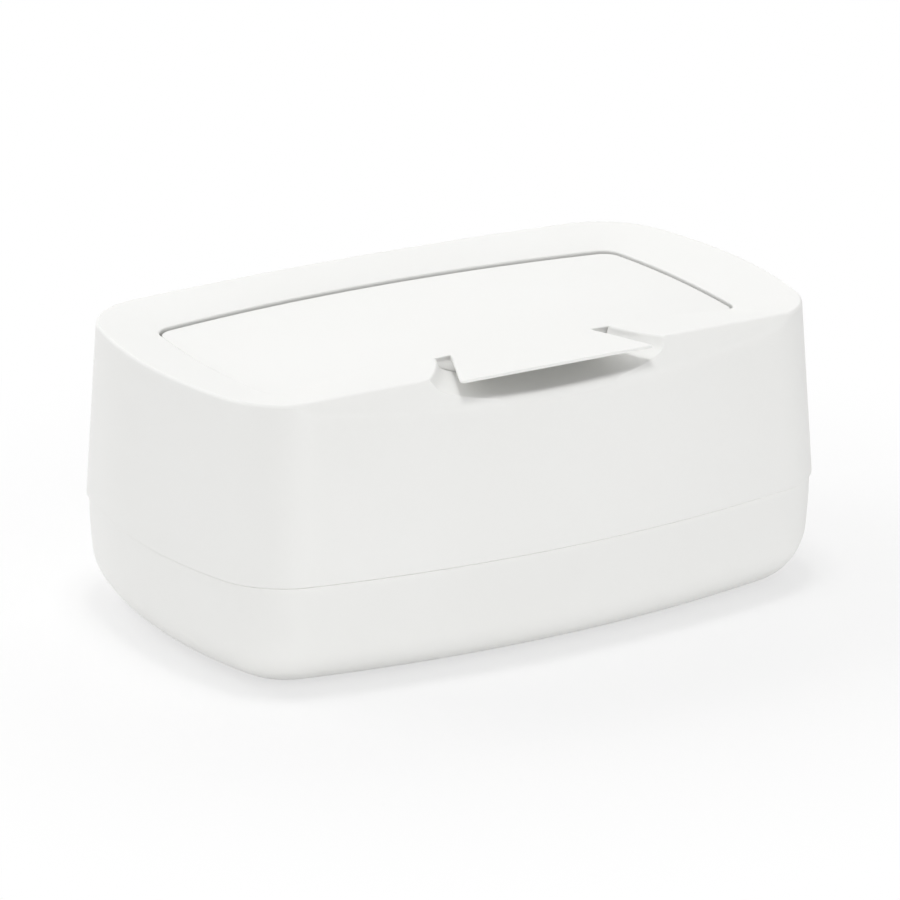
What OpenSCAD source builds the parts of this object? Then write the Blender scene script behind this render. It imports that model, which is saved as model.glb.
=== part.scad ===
// Box for moist wipes: a shallow tray, a tall lift-off cover, and a lid set into the top.
// Millimetres. X runs along the box, Y from the front to the rear, Z up, and the ground is Z = 0.

/* [Overall size] */
// Length of the cover at the seam, the longest place
box_l = 240; // [228:1:256]
// Width of the cover at the seam, front to rear
box_w = 154; // [148:1:166]
// Height of the rim above the ground
box_h = 99.4; // [94:0.2:116]
// Height of the seam between the tray and the cover
seam_h = 38.7; // [32:0.1:46]
// Wall of the tray and of the cover
wall = 2.2; // [1.8:0.1:2.6]

/* [Outline at the seam] */
// How far the front and the rear bow outwards
long_bow = 16.9; // [12:0.1:20]
// How far the two ends bow outwards
end_bow = 17.2; // [13:0.1:20]
// Radius of the four corners
corner_r = 28.4; // [25:0.1:32]

/* [Outline at the rim] */
// How far the front and the rear lean in on their way up
long_lean = 8; // [6:0.1:10]
// How far the two ends lean in on their way up
end_lean = 3.9; // [2:0.1:6]
// How far the front and the rear still bow outwards
rim_long_bow = 7.9; // [6:0.1:10]
// How far the two ends still bow outwards
rim_end_bow = 14.3; // [12:0.1:16]
// Radius of the four corners
rim_corner_r = 28.9; // [26:0.1:31]
// Rounding of the upper edge
rim_round = 0.8; // [0.5:0.1:1.2]
// How far the straight front edge is set back from the bowed front
front_cut = 7.5; // [6:0.1:9]
// Height of the sloping facet under the front edge, at its middle
facet_h = 10; // [8:0.1:12]

/* [Tray] */
// How far the tray stands in under the cover
tray_step = 0.8; // [0.5:0.1:1.2]
// How much more the tray narrows towards the bottom
tray_taper = 0.7; // [0.3:0.1:1.2]
// Width of the rounding around the bottom
bottom_round_w = 18.7; // [16:0.1:21]
// Height of the rounding around the bottom
bottom_round_h = 21.6; // [18:0.1:24]
// Thickness of the tray's floor
floor_t = 2.6; // [2.2:0.1:3.2]
// Height of the lip that stands up inside the cover
lip_h = 7; // [5:0.5:10]
// Thickness of the lip
lip_t = 1.6; // [1.2:0.1:2]
// Height of the slant along the lip's upper edge
lip_slant_h = 1; // [0.5:0.1:2]
// Width of the slant along the lip's upper edge
lip_slant_w = 0.4; // [0.2:0.1:0.8]
// Height of the thick band inside the tray that carries the lip
band_h = 6; // [4:0.5:8]
// Height of the slope under that band
band_slope = 3; // [2:0.5:4]
// Room between the lip and the inside of the cover
lip_room = 0.3; // [0.2:0.05:0.5]
// Open seam between the tray's shoulder and the cover
seam_gap = 0.3; // [0.2:0.05:0.5]

/* [Feet] */
// Diameter of a foot
foot_d = 14; // [10:0.5:16]
// How far a foot stands proud of the tray
foot_proud = 0.8; // [0.5:0.1:1.2]
// Depth of the socket that holds a foot
foot_socket = 1.2; // [0.8:0.1:1.4]
// Room around a foot in its socket
foot_room = 0.1; // [0.05:0.05:0.2]
// Distance of the feet from the ends of the box
foot_from_end = 42; // [38:1:50]
// Distance of the feet from the front and the rear of the box
foot_from_side = 38; // [36:1:44]

/* [Lid] */
// Width of the rim at the two ends, from the edge to the lid
rim_end = 24; // [20:0.5:28]
// Width of the rim at the rear, from the edge to the lid
rim_rear = 19.5; // [17:0.5:22]
// Width of the rim at the front, from the straight edge to the lid
rim_front = 16; // [14:0.5:18]
// How far the long sides of the lid bow outwards
lid_long_bow = 8.9; // [6:0.1:10]
// How far the two ends of the lid bow outwards
lid_end_bow = 4; // [3:0.1:5]
// Radius of the lid's corners
lid_corner_r = 6.7; // [5:0.1:8]
// Depth of the lid's rear edge below the rim
lid_dip = 5.3; // [4.5:0.1:6]
// How much higher the middle of the lid's front edge lies than its rear edge
lid_rise = 6.5; // [5.5:0.1:7.5]
// Thickness of the lid
lid_t = 2; // [1.6:0.1:2.4]
// Rounding of the lid's upper edge
lid_edge = 0.4; // [0.3:0.1:0.8]
// Depth of the lid's skirt below the rim
skirt_depth = 9; // [8.8:0.1:9.4]
// Thickness of the skirt
skirt_t = 1.8; // [1.5:0.1:2.2]
// Groove between the lid and the rim
lid_gap = 0.9; // [0.8:0.05:1.1]
// How far the rim's inner edge stands above the lid
rim_step = 0.85; // [0.3:0.05:1]

/* [Tongue and finger scoop] */
// Width of the tongue where it leaves the lid
tongue_root_w = 54.4; // [50:0.2:58]
// Width of the tongue at its tip
tongue_tip_w = 74.6; // [66:0.2:78]
// How far the tongue reaches past the straight front edge
tongue_reach = 6.8; // [5:0.1:8]
// Depth of the tip's upper side below the rim
tongue_drop = 0; // [0:0.1:1]
// Thickness of the tongue
tongue_t = 1.8; // [1.5:0.1:2.2]
// Thickness of the tongue at its tip
tongue_tip_t = 1; // [0.8:0.1:1.4]
// Radius of the tip's two corners, seen from above
tongue_r = 2; // [1.5:0.1:3]
// Rounding of the tip's edge
tongue_edge = 0.5; // [0.3:0.1:0.6]
// Width of the scoop where it opens into the lid's recess
scoop_in_w = 67; // [64:0.2:70]
// Width of the scoop at the front edge
scoop_out_w = 89; // [86:0.2:100]
// Depth of the scoop at the recess
scoop_in_depth = 7.2; // [7:0.1:8.6]
// Depth of the scoop at the front wall, before its lip is rounded
scoop_out_depth = 8.3; // [7.8:0.1:10]
// Rounding of the scoop's lip
scoop_lip_r = 4.4; // [3:0.1:5]

/* [Recess and dispensing opening] */
// Depth of the recess floor below the rim
recess_depth = 12.5; // [12:0.1:14]
// Thickness of the recess floor and of its walls
recess_t = 2; // [1.6:0.1:2.4]
// Shelf between the front of the recess and the opening
shelf_front = 8.5; // [8:0.1:12]
// Shelf between the opening and the trough behind it
shelf_rear = 6; // [6:0.1:9]
// Shelf between each end of the lid and the opening
shelf_end = 30; // [24:0.5:40]
// Corner radius of the opening
opening_r = 18; // [12:0.5:24]
// Thickness of the collar around the opening
collar_t = 1.8; // [1.4:0.1:2.2]

/* [Hinge] */
// Distance of the hinge pins from the lid's rear edge
hinge_back = 17.5; // [16.5:0.1:19]
// Depth of the hinge pins below the rim
hinge_depth = 8.3; // [8.1:0.1:8.6]
// Diameter of a hinge pin
pin_d = 3; // [2.5:0.1:3.2]
// Length of a pin inside the lid's boss
pin_in_lid = 7; // [5:0.5:9]
// Length of a pin inside the cover
pin_in_cover = 4.5; // [3:0.5:6]
// Running clearance around a pin in the cover
pin_clear = 0.05; // [0.02:0.01:0.1]
// Room past the end of a pin in the cover
pin_end_room = 0.25; // [0.1:0.05:0.5]
// Wall of the lid's boss around a pin
boss_wall = 1.3; // [1:0.1:1.6]
// Wall of the cover's boss around a pin
cover_boss_wall = 2; // [1.5:0.1:2.5]
// Distance from the hinge pins to the front wall of the trough
trough_front = 6; // [5.8:0.1:7]
// Room under the lid's rear edge when the lid stands open
trough_room = 0.8; // [0.6:0.1:1.2]

/* [Lid seal] */
// Width of the sealing ring
seal_w = 4; // [3:0.2:4.4]
// Depth of the groove that holds the sealing ring
seal_groove = 1; // [0.8:0.1:1.2]
// How far the sealing ring stands out of its groove
seal_proud = 1; // [0.8:0.1:1.2]
// Wall of the groove on each side of the sealing ring
seal_land = 1.2; // [1:0.1:1.6]
// Room between the sealing ring and the collar
seal_room = 0.1; // [0.05:0.05:0.2]

/* [Hidden] */

// Steps along a quarter of an outline: on the end, round the corner, on the long side
end_steps = 5;
corner_steps = 8;
long_steps = 7;
// Steps of a quarter of a round edge, and of a round corner seen from above
round_steps = 7;
turn_steps = 6;
// Level strip between the rounded upper edge and the dished rim
rim_level = 0.2;
// How late the scoop widens (1 is a straight taper), and how steep its sides are (1 is an ellipse)
scoop_flare = 1.4;
scoop_steep = 0.667;
// Share of the lip's quarter turn that is done where it meets the front wall
lip_steep = 0.98;
// The tongue's upper side lies this little below the lid's, so that no two faces coincide
tongue_sink = 0.05;
// A tool that cuts reaches this far past what it cuts
past = 1;
round_fn = 64;

// The rim's outline, and the lid inside it
rim_half_l = box_l / 2 - end_lean;
rim_half_w = box_w / 2 - long_lean;
front_y = -(rim_half_w - front_cut);
lid_rear_y = rim_half_w - rim_rear;
lid_front_y = front_y + rim_front;
lid_y = (lid_rear_y + lid_front_y) / 2;
lid_half_l = rim_half_l - rim_end;
lid_half_w = (lid_rear_y - lid_front_y) / 2;
tongue_tip_y = front_y - tongue_reach;

// Heights that follow the rim
recess_z = box_h - recess_depth;
skirt_z = box_h - skirt_depth;
seal_low_z = skirt_z - seal_proud;
collar_z = seal_low_z - seal_room;

// The hinge, and the trough that the lid's rear edge turns into
hinge_y = lid_rear_y - hinge_back;
hinge_z = box_h - hinge_depth;
boss_r = pin_d / 2 + boss_wall;
cover_boss_r = pin_d / 2 + cover_boss_wall;
swing_r = norm([hinge_back, hinge_depth - lid_dip]);
trough_y = hinge_y - trough_front;
trough_z = hinge_z - swing_r - trough_room;

// The opening in the recess floor
opening_front_y = lid_front_y + shelf_front;
opening_rear_y = trough_y - shelf_rear;
opening_half_l = lid_half_l - shelf_end;

// Radius of an arc that is half_l long on each side of its middle and bows by bow
function arc_r(half_l, bow) = (half_l * half_l + bow * bow) / (2 * bow);

// Shares of the way from a to b
function mix(a, b, t) = a + (b - a) * t;
function smooth(t) = let (s = min(max(t, 0), 1)) s * s * (3 - 2 * s);

// A quarter of a bowed rectangle with round corners, moved inwards by inset
function quarter(half_l, half_w, bow_l, bow_e, r, inset) =
    let (long_r = arc_r(half_l, bow_l), end_r = arc_r(half_w, bow_e),
         long_c = [0, half_w - long_r], end_c = [half_l - end_r, 0],
         p = long_r - r, q = end_r - r, apart = norm(end_c - long_c), dir = (end_c - long_c) / apart,
         along = (apart * apart + p * p - q * q) / (2 * apart), across = sqrt(p * p - along * along),
         c = long_c + dir * along + [dir.y, -dir.x] * across,
         from = atan2(c.y - end_c.y, c.x - end_c.x), to = atan2(c.y - long_c.y, c.x - long_c.x),
         r_in = max(r - inset, 0.5))
    concat(
        [for (i = [0 : end_steps - 1]) let (a = from * i / end_steps)
            end_c + (end_r - inset) * [cos(a), sin(a)]],
        [for (i = [0 : corner_steps]) let (a = mix(from, to, i / corner_steps))
            c + r_in * [cos(a), sin(a)]],
        [for (i = [1 : long_steps]) let (a = mix(to, 90, i / long_steps))
            long_c + (long_r - inset) * [cos(a), sin(a)]]);

// The whole outline, anticlockwise from the middle of the right end
function around(q) = let (n = len(q)) concat(
    q,
    [for (i = [n - 2 : -1 : 0]) [-q[i].x, q[i].y]],
    [for (i = [1 : n - 1]) [-q[i].x, -q[i].y]],
    [for (i = [n - 2 : -1 : 1]) [q[i].x, -q[i].y]]);

// The box's outline at height z, moved inwards by inset: below the seam it stays as at the seam
function box_outline(z, inset) = let (t = max((z - seam_h) / (box_h - seam_h), 0)) around(quarter(
    mix(box_l / 2, rim_half_l, t), mix(box_w / 2, rim_half_w, t), mix(long_bow, rim_long_bow, t),
    mix(end_bow, rim_end_bow, t), mix(corner_r, rim_corner_r, t), inset));
function box_ring(z, inset) = [for (p = box_outline(z, inset)) [p.x, p.y, z]];

// The lid's outline, moved inwards by inset
function lid_outline(inset) = [for (p = around(quarter(
    lid_half_l, lid_half_w, lid_long_bow, lid_end_bow, lid_corner_r, inset))) [p.x, p.y + lid_y]];

// Height of the lid's upper side: level at the rear and the ends, rising to the tongue at the front
function lid_top(x, y) =
    let (arch = lid_rise * (1 - pow(x / lid_half_l, 2)),
         edge = box_h - lid_dip + arch * smooth((lid_rear_y - y) / (lid_rear_y - lid_front_y)),
         t = max((lid_front_y - y) / (lid_front_y - tongue_tip_y), 0))
    edge - t * t * (box_h - lid_dip + arch - (box_h - tongue_drop));
// Height of the rim's inner edge, which stands above the lid
function rim_inner(x, y) = lid_top(x, max(y, lid_front_y)) + rim_step;

// Place of a lid ring's points, drawn in towards the middle by share
function lid_ring(inset, share, down) = [for (p = lid_outline(inset))
    let (x = p.x * share, y = mix(lid_y, p.y, share)) [x, y, lid_top(x, y) - down]];
lid_shares = [0.88, 0.74, 0.58, 0.4, 0.2];

// A closed solid through rings of points that all run anticlockwise, seen from the last ring's side
module loft(rings, first_mid, last_mid) {
    n = len(rings[0]);
    k = len(rings);
    sides = [for (j = [0 : k - 2], i = [0 : n - 1])
        let (a = j * n + i, b = j * n + (i + 1) % n) each [[a, a + n, b + n], [a, b + n, b]]];
    first_cap = [for (i = [0 : n - 1]) [i, (i + 1) % n, k * n]];
    last_cap = [for (i = [0 : n - 1]) [(k - 1) * n + (i + 1) % n, (k - 1) * n + i, k * n + 1]];
    polyhedron([for (r = rings) each r, first_mid, last_mid], concat(sides, first_cap, last_cap));
}

// A quarter turn of an elliptic edge: [inset, rise] from the flat to the upright wall
function edge_steps(w, h) = [for (i = [0 : round_steps]) let (a = 90 * i / round_steps)
    [w * (1 - sin(a)), h * (1 - cos(a))]];

// A rectangle with round corners, given by its sides
module rounded(x0, x1, y0, y1, r) {
    polygon([for (c = [[x1, y1, 0], [x0, y1, 90], [x0, y0, 180], [x1, y0, 270]], i = [0 : turn_steps])
        let (a = c.z + 90 * i / turn_steps, sx = c.x == x1 ? -1 : 1, sy = c.y == y1 ? -1 : 1)
        [c.x + sx * r + r * cos(a), c.y + sy * r + r * sin(a)]]);
}
// The opening's outline, grown outwards by grow
module opening_shape(grow) {
    rounded(-opening_half_l - grow, opening_half_l + grow, opening_front_y - grow, opening_rear_y + grow,
        opening_r + grow);
}
// A flat ring around the opening, between two distances from its edge
module opening_ring(inner, outer) {
    difference() {
        opening_shape(outer);
        opening_shape(inner);
    }
}

// The tray's outside: bottom rounding, side wall, shoulder and lip
module tray_form() {
    side_z = foot_proud + bottom_round_h;
    shoulder_z = seam_h - seam_gap;
    lip_top_z = seam_h + lip_h;
    lip_in = wall + lip_room;
    bottom = [for (e = edge_steps(bottom_round_w, bottom_round_h))
        box_ring(foot_proud + e.y, tray_step + tray_taper + e.x)];
    loft(concat(bottom, [box_ring((side_z + shoulder_z) / 2, tray_step + tray_taper / 4),
        box_ring(shoulder_z, tray_step), box_ring(shoulder_z, lip_in),
        box_ring(lip_top_z - lip_slant_h, lip_in), box_ring(lip_top_z, lip_in + lip_slant_w)]),
        [0, 0, foot_proud], [0, 0, lip_top_z]);
}

// The tray's inside, with a thicker band where the lip stands
module tray_hollow() {
    deep = tray_step + tray_taper + wall;
    lip_inner = wall + lip_room + lip_t;
    band_z = seam_h - seam_gap - band_h;
    bottom = [for (e = edge_steps(bottom_round_w - wall, bottom_round_h - floor_t))
        box_ring(foot_proud + floor_t + e.y, deep + e.x)];
    loft(concat(bottom, [box_ring(band_z - band_slope, tray_step + wall), box_ring(band_z, lip_inner),
        box_ring(seam_h + lip_h + past, lip_inner)]),
        [0, 0, foot_proud + floor_t], [0, 0, seam_h + lip_h + past]);
}

module base_tray() {
    color("whitesmoke") difference() {
        tray_form();
        tray_hollow();
        for (sx = [-1, 1], sy = [-1, 1])
            translate([sx * (box_l / 2 - foot_from_end), sy * (box_w / 2 - foot_from_side), -past])
                cylinder(d = foot_d + 2 * foot_room, h = past + foot_proud + foot_socket, $fn = round_fn);
    }
}

// A round foot pressed into its socket
module foot(sx, sy) {
    color("gainsboro")
        translate([sx * (box_l / 2 - foot_from_end), sy * (box_w / 2 - foot_from_side), 0])
            cylinder(d = foot_d, h = foot_proud + foot_socket, $fn = round_fn);
}

// What the sloping front facet takes away, moved inwards by inset
module facet_cut(inset) {
    facet_run = front_cut + long_lean * facet_h / (box_h - seam_h);
    translate([0, front_y, box_h]) rotate([atan2(facet_h, facet_run), 0, 0])
        translate([-box_l, -box_w, -inset]) cube([2 * box_l, 2 * box_w, box_h]);
}

// The cover's outside, a solid block down to the seam, raised where the rim follows the lid to the tongue
module cover_form() {
    crown = [for (p = lid_outline(-lid_gap)) [p.x, p.y, max(box_h, rim_inner(p.x, p.y) + rim_level)]];
    difference() {
        loft([box_ring(seam_h, 0), box_ring(box_h - rim_round, 0),
            box_ring(box_h - rim_round * 0.3, rim_round * 0.3), box_ring(box_h, rim_round), crown],
            [0, 0, seam_h], [0, lid_y, box_h]);
        facet_cut(0);
    }
}

// The cover's inside, up to the underside of the rim
module cover_hollow() {
    under_rim = box_h - wall - rim_round;
    around_recess = [for (p = lid_outline(-lid_gap - recess_t / 2))
        [p.x, p.y, rim_inner(p.x, p.y) - wall]];
    difference() {
        loft([box_ring(seam_h - past, wall), box_ring(seam_h, wall), box_ring(under_rim, wall),
            around_recess], [0, 0, seam_h - past], [0, lid_y, box_h - lid_dip - wall]);
        facet_cut(wall);
    }
}

// What is cut away above the rim, which falls from its outer edge to the lid
module rim_dish() {
    edge = [for (p = box_outline(box_h, rim_round + rim_level)) [p.x, max(p.y, front_y)]];
    inner = [for (p = lid_outline(-lid_gap)) [p.x, p.y, rim_inner(p.x, p.y)]];
    loft([inner, [for (p = edge) [p.x, p.y, box_h]], [for (p = edge) [p.x, p.y, box_h + wall + past]]],
        [0, lid_y, recess_z + past], [0, 0, box_h + wall + past]);
}

// The lid's recess and the deeper trough behind it, grown outwards by grow
module recess_form(grow, low, high) {
    translate([0, 0, low]) linear_extrude(high - low) polygon(lid_outline(-lid_gap - grow));
}
module trough_form(grow, high) {
    intersection() {
        recess_form(grow, trough_z - grow, high);
        translate([-box_l / 2, trough_y - grow, 0]) cube([box_l, box_w, box_h + past]);
    }
}

// Half width and depth of the finger scoop at a place from the recess to beyond the front wall
function scoop_half_w(y) =
    let (back = lid_front_y - lid_gap, t = min(max((back - y) / (back - front_y), 0), 1))
    mix(scoop_in_w / 2, scoop_out_w / 2, pow(t, scoop_flare));
function scoop_depth(y) = mix(scoop_in_depth, scoop_out_depth,
    max((lid_front_y - y) / (lid_front_y + rim_half_w + wall), 0));
// Where the front wall stands at the lip, and how much deeper the rounded lip lies than the bowl
scoop_lip_at = (box_h - scoop_out_depth - scoop_lip_r - seam_h) / (box_h - seam_h);
function lip_y(x) = -mix(box_w / 2, rim_half_w, scoop_lip_at)
    + mix(long_bow, rim_long_bow, scoop_lip_at) * pow(x / mix(box_l / 2, rim_half_l, scoop_lip_at), 2);
function lip_drop(x, y) =
    let (t = min(max((lip_y(x) - y) / scoop_lip_r + lip_steep, 0), 1)) scoop_lip_r * (1 - sqrt(1 - t * t));
// The scoop's cross section: a bowl with an arched floor and steep sides, with its lip or without
function scoop_section(y, grow, lip) =
    let (w = scoop_half_w(y) + grow, d = scoop_depth(y) + grow, top = box_h + wall + past)
    concat([for (i = [0 : 20])
        let (a = 180 + 9 * i, x = w * cos(a))
        [x, y, box_h - (d + lip * lip_drop(x, y)) * pow(abs(sin(a)), scoop_steep)]],
        [[w, y, top], [-w, y, top]]);
// The scoop, grown outwards by grow
module scoop(grow, lip) {
    back = lid_front_y - lid_gap;
    ends = lip_y(0) - scoop_lip_r * (1 - lip_steep);
    ys = concat([back + past, back], [for (t = [0.15, 0.35, 0.6, 1]) mix(back, front_y, t)],
        [for (a = [-15 : 15 : 90]) ends + scoop_lip_r * (1 - sin(a))], [-box_w / 2 - past]);
    loft([for (y = ys) scoop_section(y, grow, lip)], [0, ys[0], box_h], [0, ys[len(ys) - 1], box_h]);
}

// Where the lid's and the recess's ends lie at the hinge
hinge_lid_x = let (r = arc_r(lid_half_w, lid_end_bow))
    lid_half_l - r + sqrt(r * r - pow(hinge_y - lid_y, 2));
hinge_recess_x = hinge_lid_x + lid_gap;

// A round bar along the hinge axis between two distances from the middle, on the side sx
module hinge_bar(sx, r, from, to) {
    translate([sx > 0 ? from : -to, hinge_y, hinge_z]) rotate([0, 90, 0])
        cylinder(r = r, h = to - from, $fn = round_fn);
}

module top_cover() {
    pin_end_x = hinge_recess_x + pin_in_cover;
    color("whitesmoke") union() {
        difference() {
            union() {
                difference() {
                    cover_form();
                    cover_hollow();
                }
                recess_form(recess_t, recess_z - recess_t, box_h + past);
                trough_form(recess_t, box_h + past);
                intersection() {
                    cover_form();
                    scoop(wall, 0);
                }
                for (sx = [-1, 1])
                    hinge_bar(sx, cover_boss_r, hinge_recess_x + recess_t / 2, pin_end_x + recess_t);
            }
            rim_dish();
            recess_form(0, recess_z, box_h + wall + past);
            trough_form(0, box_h + wall + past);
            scoop(0, 1);
            translate([0, 0, recess_z - recess_t - past]) linear_extrude(recess_t + 2 * past)
                opening_shape(0);
            for (sx = [-1, 1])
                hinge_bar(sx, pin_d / 2 + pin_clear, hinge_recess_x - recess_t, pin_end_x + pin_end_room);
        }
        translate([0, 0, recess_z - recess_t / 2]) linear_extrude(collar_z - recess_z + recess_t / 2)
            opening_ring(0, collar_t);
    }
}

// The lid as a solid block, from its upper side down to the bottom of its skirt
module lid_block() {
    skirt = [for (p = lid_outline(0)) [p.x, p.y, skirt_z]];
    edge = [for (p = lid_outline(0)) [p.x, p.y, lid_top(p.x, p.y) - lid_edge]];
    loft(concat([skirt, edge, lid_ring(lid_edge, 1, 0)], [for (s = lid_shares) lid_ring(0, s, 0)]),
        [0, lid_y, skirt_z], [0, lid_y, lid_top(0, lid_y)]);
}
// The space under the lid, inside its skirt
module lid_hollow() {
    skirt = [for (p = lid_outline(skirt_t)) [p.x, p.y, skirt_z - past]];
    loft(concat([skirt, lid_ring(skirt_t, 1, lid_t)], [for (s = lid_shares) lid_ring(skirt_t, s, lid_t)]),
        [0, lid_y, skirt_z - past], [0, lid_y, lid_top(0, lid_y) - lid_t]);
}

// Distances from the opening's edge to the sides of the sealing ring
seal_inner = (collar_t - seal_w) / 2;
seal_outer = (collar_t + seal_w) / 2;

// The tongue's cross section at a place from inside the lid to the tip
function tongue_half_w(y) =
    let (t = (lid_front_y - y) / (lid_front_y - tongue_tip_y), to_tip = y - tongue_tip_y,
         trim = to_tip < tongue_r ? tongue_r - sqrt(tongue_r * tongue_r - pow(tongue_r - to_tip, 2)) : 0)
    mix(tongue_root_w / 2, tongue_tip_w / 2, max(t, 0)) - trim;
function tongue_t_at(y) =
    mix(tongue_t, tongue_tip_t, max((lid_front_y - y) / (lid_front_y - tongue_tip_y), 0));
function tongue_section(y, upper, lower) =
    let (w = tongue_half_w(y), xs = [for (i = [0 : 8]) w * (i / 4 - 1)])
    concat([for (x = xs) [x, y, lid_top(x, y) - lower]],
           [for (i = [8 : -1 : 0]) [xs[i], y, lid_top(xs[i], y) - upper]]);
module tongue() {
    straight = concat([[lid_front_y + skirt_t / 2, 0], [lid_front_y, 0]],
        [for (t = [0.2, 0.4, 0.6, 0.75, 0.88]) [mix(lid_front_y, tongue_tip_y, t), 0]]);
    edge = [for (a = [0, 30, 60, 90])
        [tongue_tip_y + tongue_edge * (1 - sin(a)), tongue_edge * (1 - cos(a))]];
    loft([for (s = concat(straight, edge))
        tongue_section(s[0], tongue_sink + s[1], tongue_t_at(s[0]) - s[1] / 2)],
        [0, straight[0][0], lid_top(0, straight[0][0]) - tongue_t / 2],
        [0, tongue_tip_y, lid_top(0, tongue_tip_y) - tongue_tip_t * 0.6]);
}

module lid() {
    boss_in_x = hinge_lid_x - pin_in_lid;
    color("white") difference() {
        union() {
            difference() {
                lid_block();
                difference() {
                    lid_hollow();
                    translate([0, 0, skirt_z]) linear_extrude(box_h - skirt_z)
                        opening_ring(seal_inner - seal_land, seal_outer + seal_land);
                }
            }
            tongue();
            for (sx = [-1, 1]) hinge_bar(sx, boss_r, boss_in_x, hinge_lid_x - skirt_t / 2);
        }
        translate([0, 0, skirt_z - past]) linear_extrude(seal_groove + past)
            opening_ring(seal_inner, seal_outer);
        for (sx = [-1, 1]) hinge_bar(sx, pin_d / 2, boss_in_x - past, hinge_recess_x);
    }
}

module lid_seal() {
    color("lightgray") translate([0, 0, seal_low_z]) linear_extrude(seal_groove + seal_proud)
        opening_ring(seal_inner, seal_outer);
}

module hinge_pin(sx) {
    color("silver") hinge_bar(sx, pin_d / 2, hinge_lid_x - pin_in_lid, hinge_recess_x + pin_in_cover);
}

base_tray();
foot(-1, -1);  // foot_front_left
foot(1, -1);  // foot_front_right
foot(-1, 1);  // foot_rear_left
foot(1, 1);  // foot_rear_right
top_cover();
lid();
lid_seal();
hinge_pin(-1);  // hinge_pin_left
hinge_pin(1);  // hinge_pin_right
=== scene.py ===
# %% [markdown]
# # A box for moist wipes
#
# The box on the table is white plastic: a shallow tray, a tall cover that lifts off it, and a large lid set
# into a dished rim. The lid's tongue hangs over a scoop for the finger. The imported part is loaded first, and
# every length below is in its frame: X along the box, Y to the rear, Z up.

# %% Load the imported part
import math
import bmesh
import bpy
import numpy as np
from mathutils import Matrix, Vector


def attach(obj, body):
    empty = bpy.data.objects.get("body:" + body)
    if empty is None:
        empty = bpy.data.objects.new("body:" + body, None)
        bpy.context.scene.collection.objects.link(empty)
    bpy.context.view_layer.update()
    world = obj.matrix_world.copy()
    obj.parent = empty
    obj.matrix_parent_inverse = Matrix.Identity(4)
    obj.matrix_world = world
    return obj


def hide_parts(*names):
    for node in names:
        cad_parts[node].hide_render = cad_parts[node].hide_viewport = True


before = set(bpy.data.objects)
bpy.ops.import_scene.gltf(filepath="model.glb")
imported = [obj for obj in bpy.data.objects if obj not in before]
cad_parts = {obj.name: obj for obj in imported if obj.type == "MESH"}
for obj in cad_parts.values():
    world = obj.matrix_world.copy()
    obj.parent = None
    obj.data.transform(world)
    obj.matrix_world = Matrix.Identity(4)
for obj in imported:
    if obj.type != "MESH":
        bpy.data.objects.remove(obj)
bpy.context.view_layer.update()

# %% [markdown]
# ## Sizes
#
# The sizes are those of the part itself, in millimetres, because the smooth skins made here have to lie where
# its solids lie. They are grouped by piece.

# %% Sizes in millimetres
MM = 0.001
# an outline is (half length, half width, bow of the long sides, bow of the ends, corner radius)
SEAM_LINE = (120.0, 77.0, 16.9, 17.2, 28.4)
RIM_LINE = (116.1, 69.0, 7.9, 14.3, 28.9)
LID_LINE = (92.1, 47.5, 8.9, 4.0, 6.7)
# the cover: heights, wall, edges of the rim, and the facet along the front
BOX_H, SEAM_H, WALL = 99.4, 38.7, 2.2
RIM_ROUND, RIM_EDGE, RIM_EDGE_REAR = 0.8, 0.6, 1.4
FRONT_Y, FACET_H, LONG_LEAN, FRONT_CUT = -61.5, 10.0, 8.0, 7.5
# the lid: place, curve of its top, thickness, groove around it, step of the rim above it, skirt
LID_Y, LID_REAR_Y, LID_FRONT_Y = 2.0, 49.5, -45.5
LID_DIP, LID_RISE, LID_T, LID_GAP, RIM_STEP = 5.3, 6.5, 2.0, 0.9, 0.85
SKIRT_Z, SKIRT_T = 90.4, 1.8
# the tongue: half widths, tip, drop, thickness at root and tip, corners
TONGUE_ROOT, TONGUE_TIP, TONGUE_TIP_Y = 27.2, 37.3, -68.3
TONGUE_DROP, TONGUE_T, TONGUE_TIP_T, TONGUE_R = 0.0, 1.8, 1.0, 2.0
# the finger scoop: half widths and depths at its back and at the front wall, and its curves
SCOOP_IN, SCOOP_OUT, SCOOP_IN_D, SCOOP_OUT_D = 33.5, 44.5, 7.2, 8.3
SCOOP_FLARE, SCOOP_STEEP, LIP_ROUND, LIP_STEEP = 1.4, 0.667, 4.4, 0.98
# the recess, the trough, the opening (half length, front, rear, corner radius) and its collar
RECESS_Z, RECESS_T = 86.9, 2.0
TROUGH_Y, TROUGH_Z = 26.0, 72.48
OPENING, COLLAR_T, COLLAR_Z = (62.1, -37.0, 20.0, 18.0), 1.8, 89.3
# the hinge: axis, pins, the walls of their bosses and the depth of their bores
HINGE_Y, HINGE_Z, PIN_R, PIN_ROOM, PIN_IN_LID, PIN_IN_COVER = 32.0, 91.1, 1.5, 0.05, 7.0, 4.5
COVER_BOSS_T, LID_BOSS_T, BORE_END = 2.0, 1.3, 0.25
# the tray: feet, shoulder under the seam, bottom edge, lip inside the cover
FOOT_X, FOOT_Y, FOOT_R, FOOT_TOP = 78.0, 39.0, 7.1, 2.0
TRAY_STEP, TRAY_TAPER, TRAY_BOTTOM = 0.8, 0.7, 0.8
BOTTOM_W, BOTTOM_H, FLOOR_T = 18.7, 21.6, 2.6
SEAM_GAP, LIP_H, LIP_T, LIP_ROOM, BAND_H, BAND_SLOPE = 0.3, 7.0, 1.6, 0.3, 6.0, 3.0
# the seal: its ring and its land, measured outwards from the opening, and its groove's depth
SEAL_IN, SEAL_OUT, SEAL_LAND, SEAL_GROOVE = -1.1, 2.9, 1.2, 1.0
# how far a block reaches past what it is cut out of or joined to
PAST = 1.0

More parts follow.
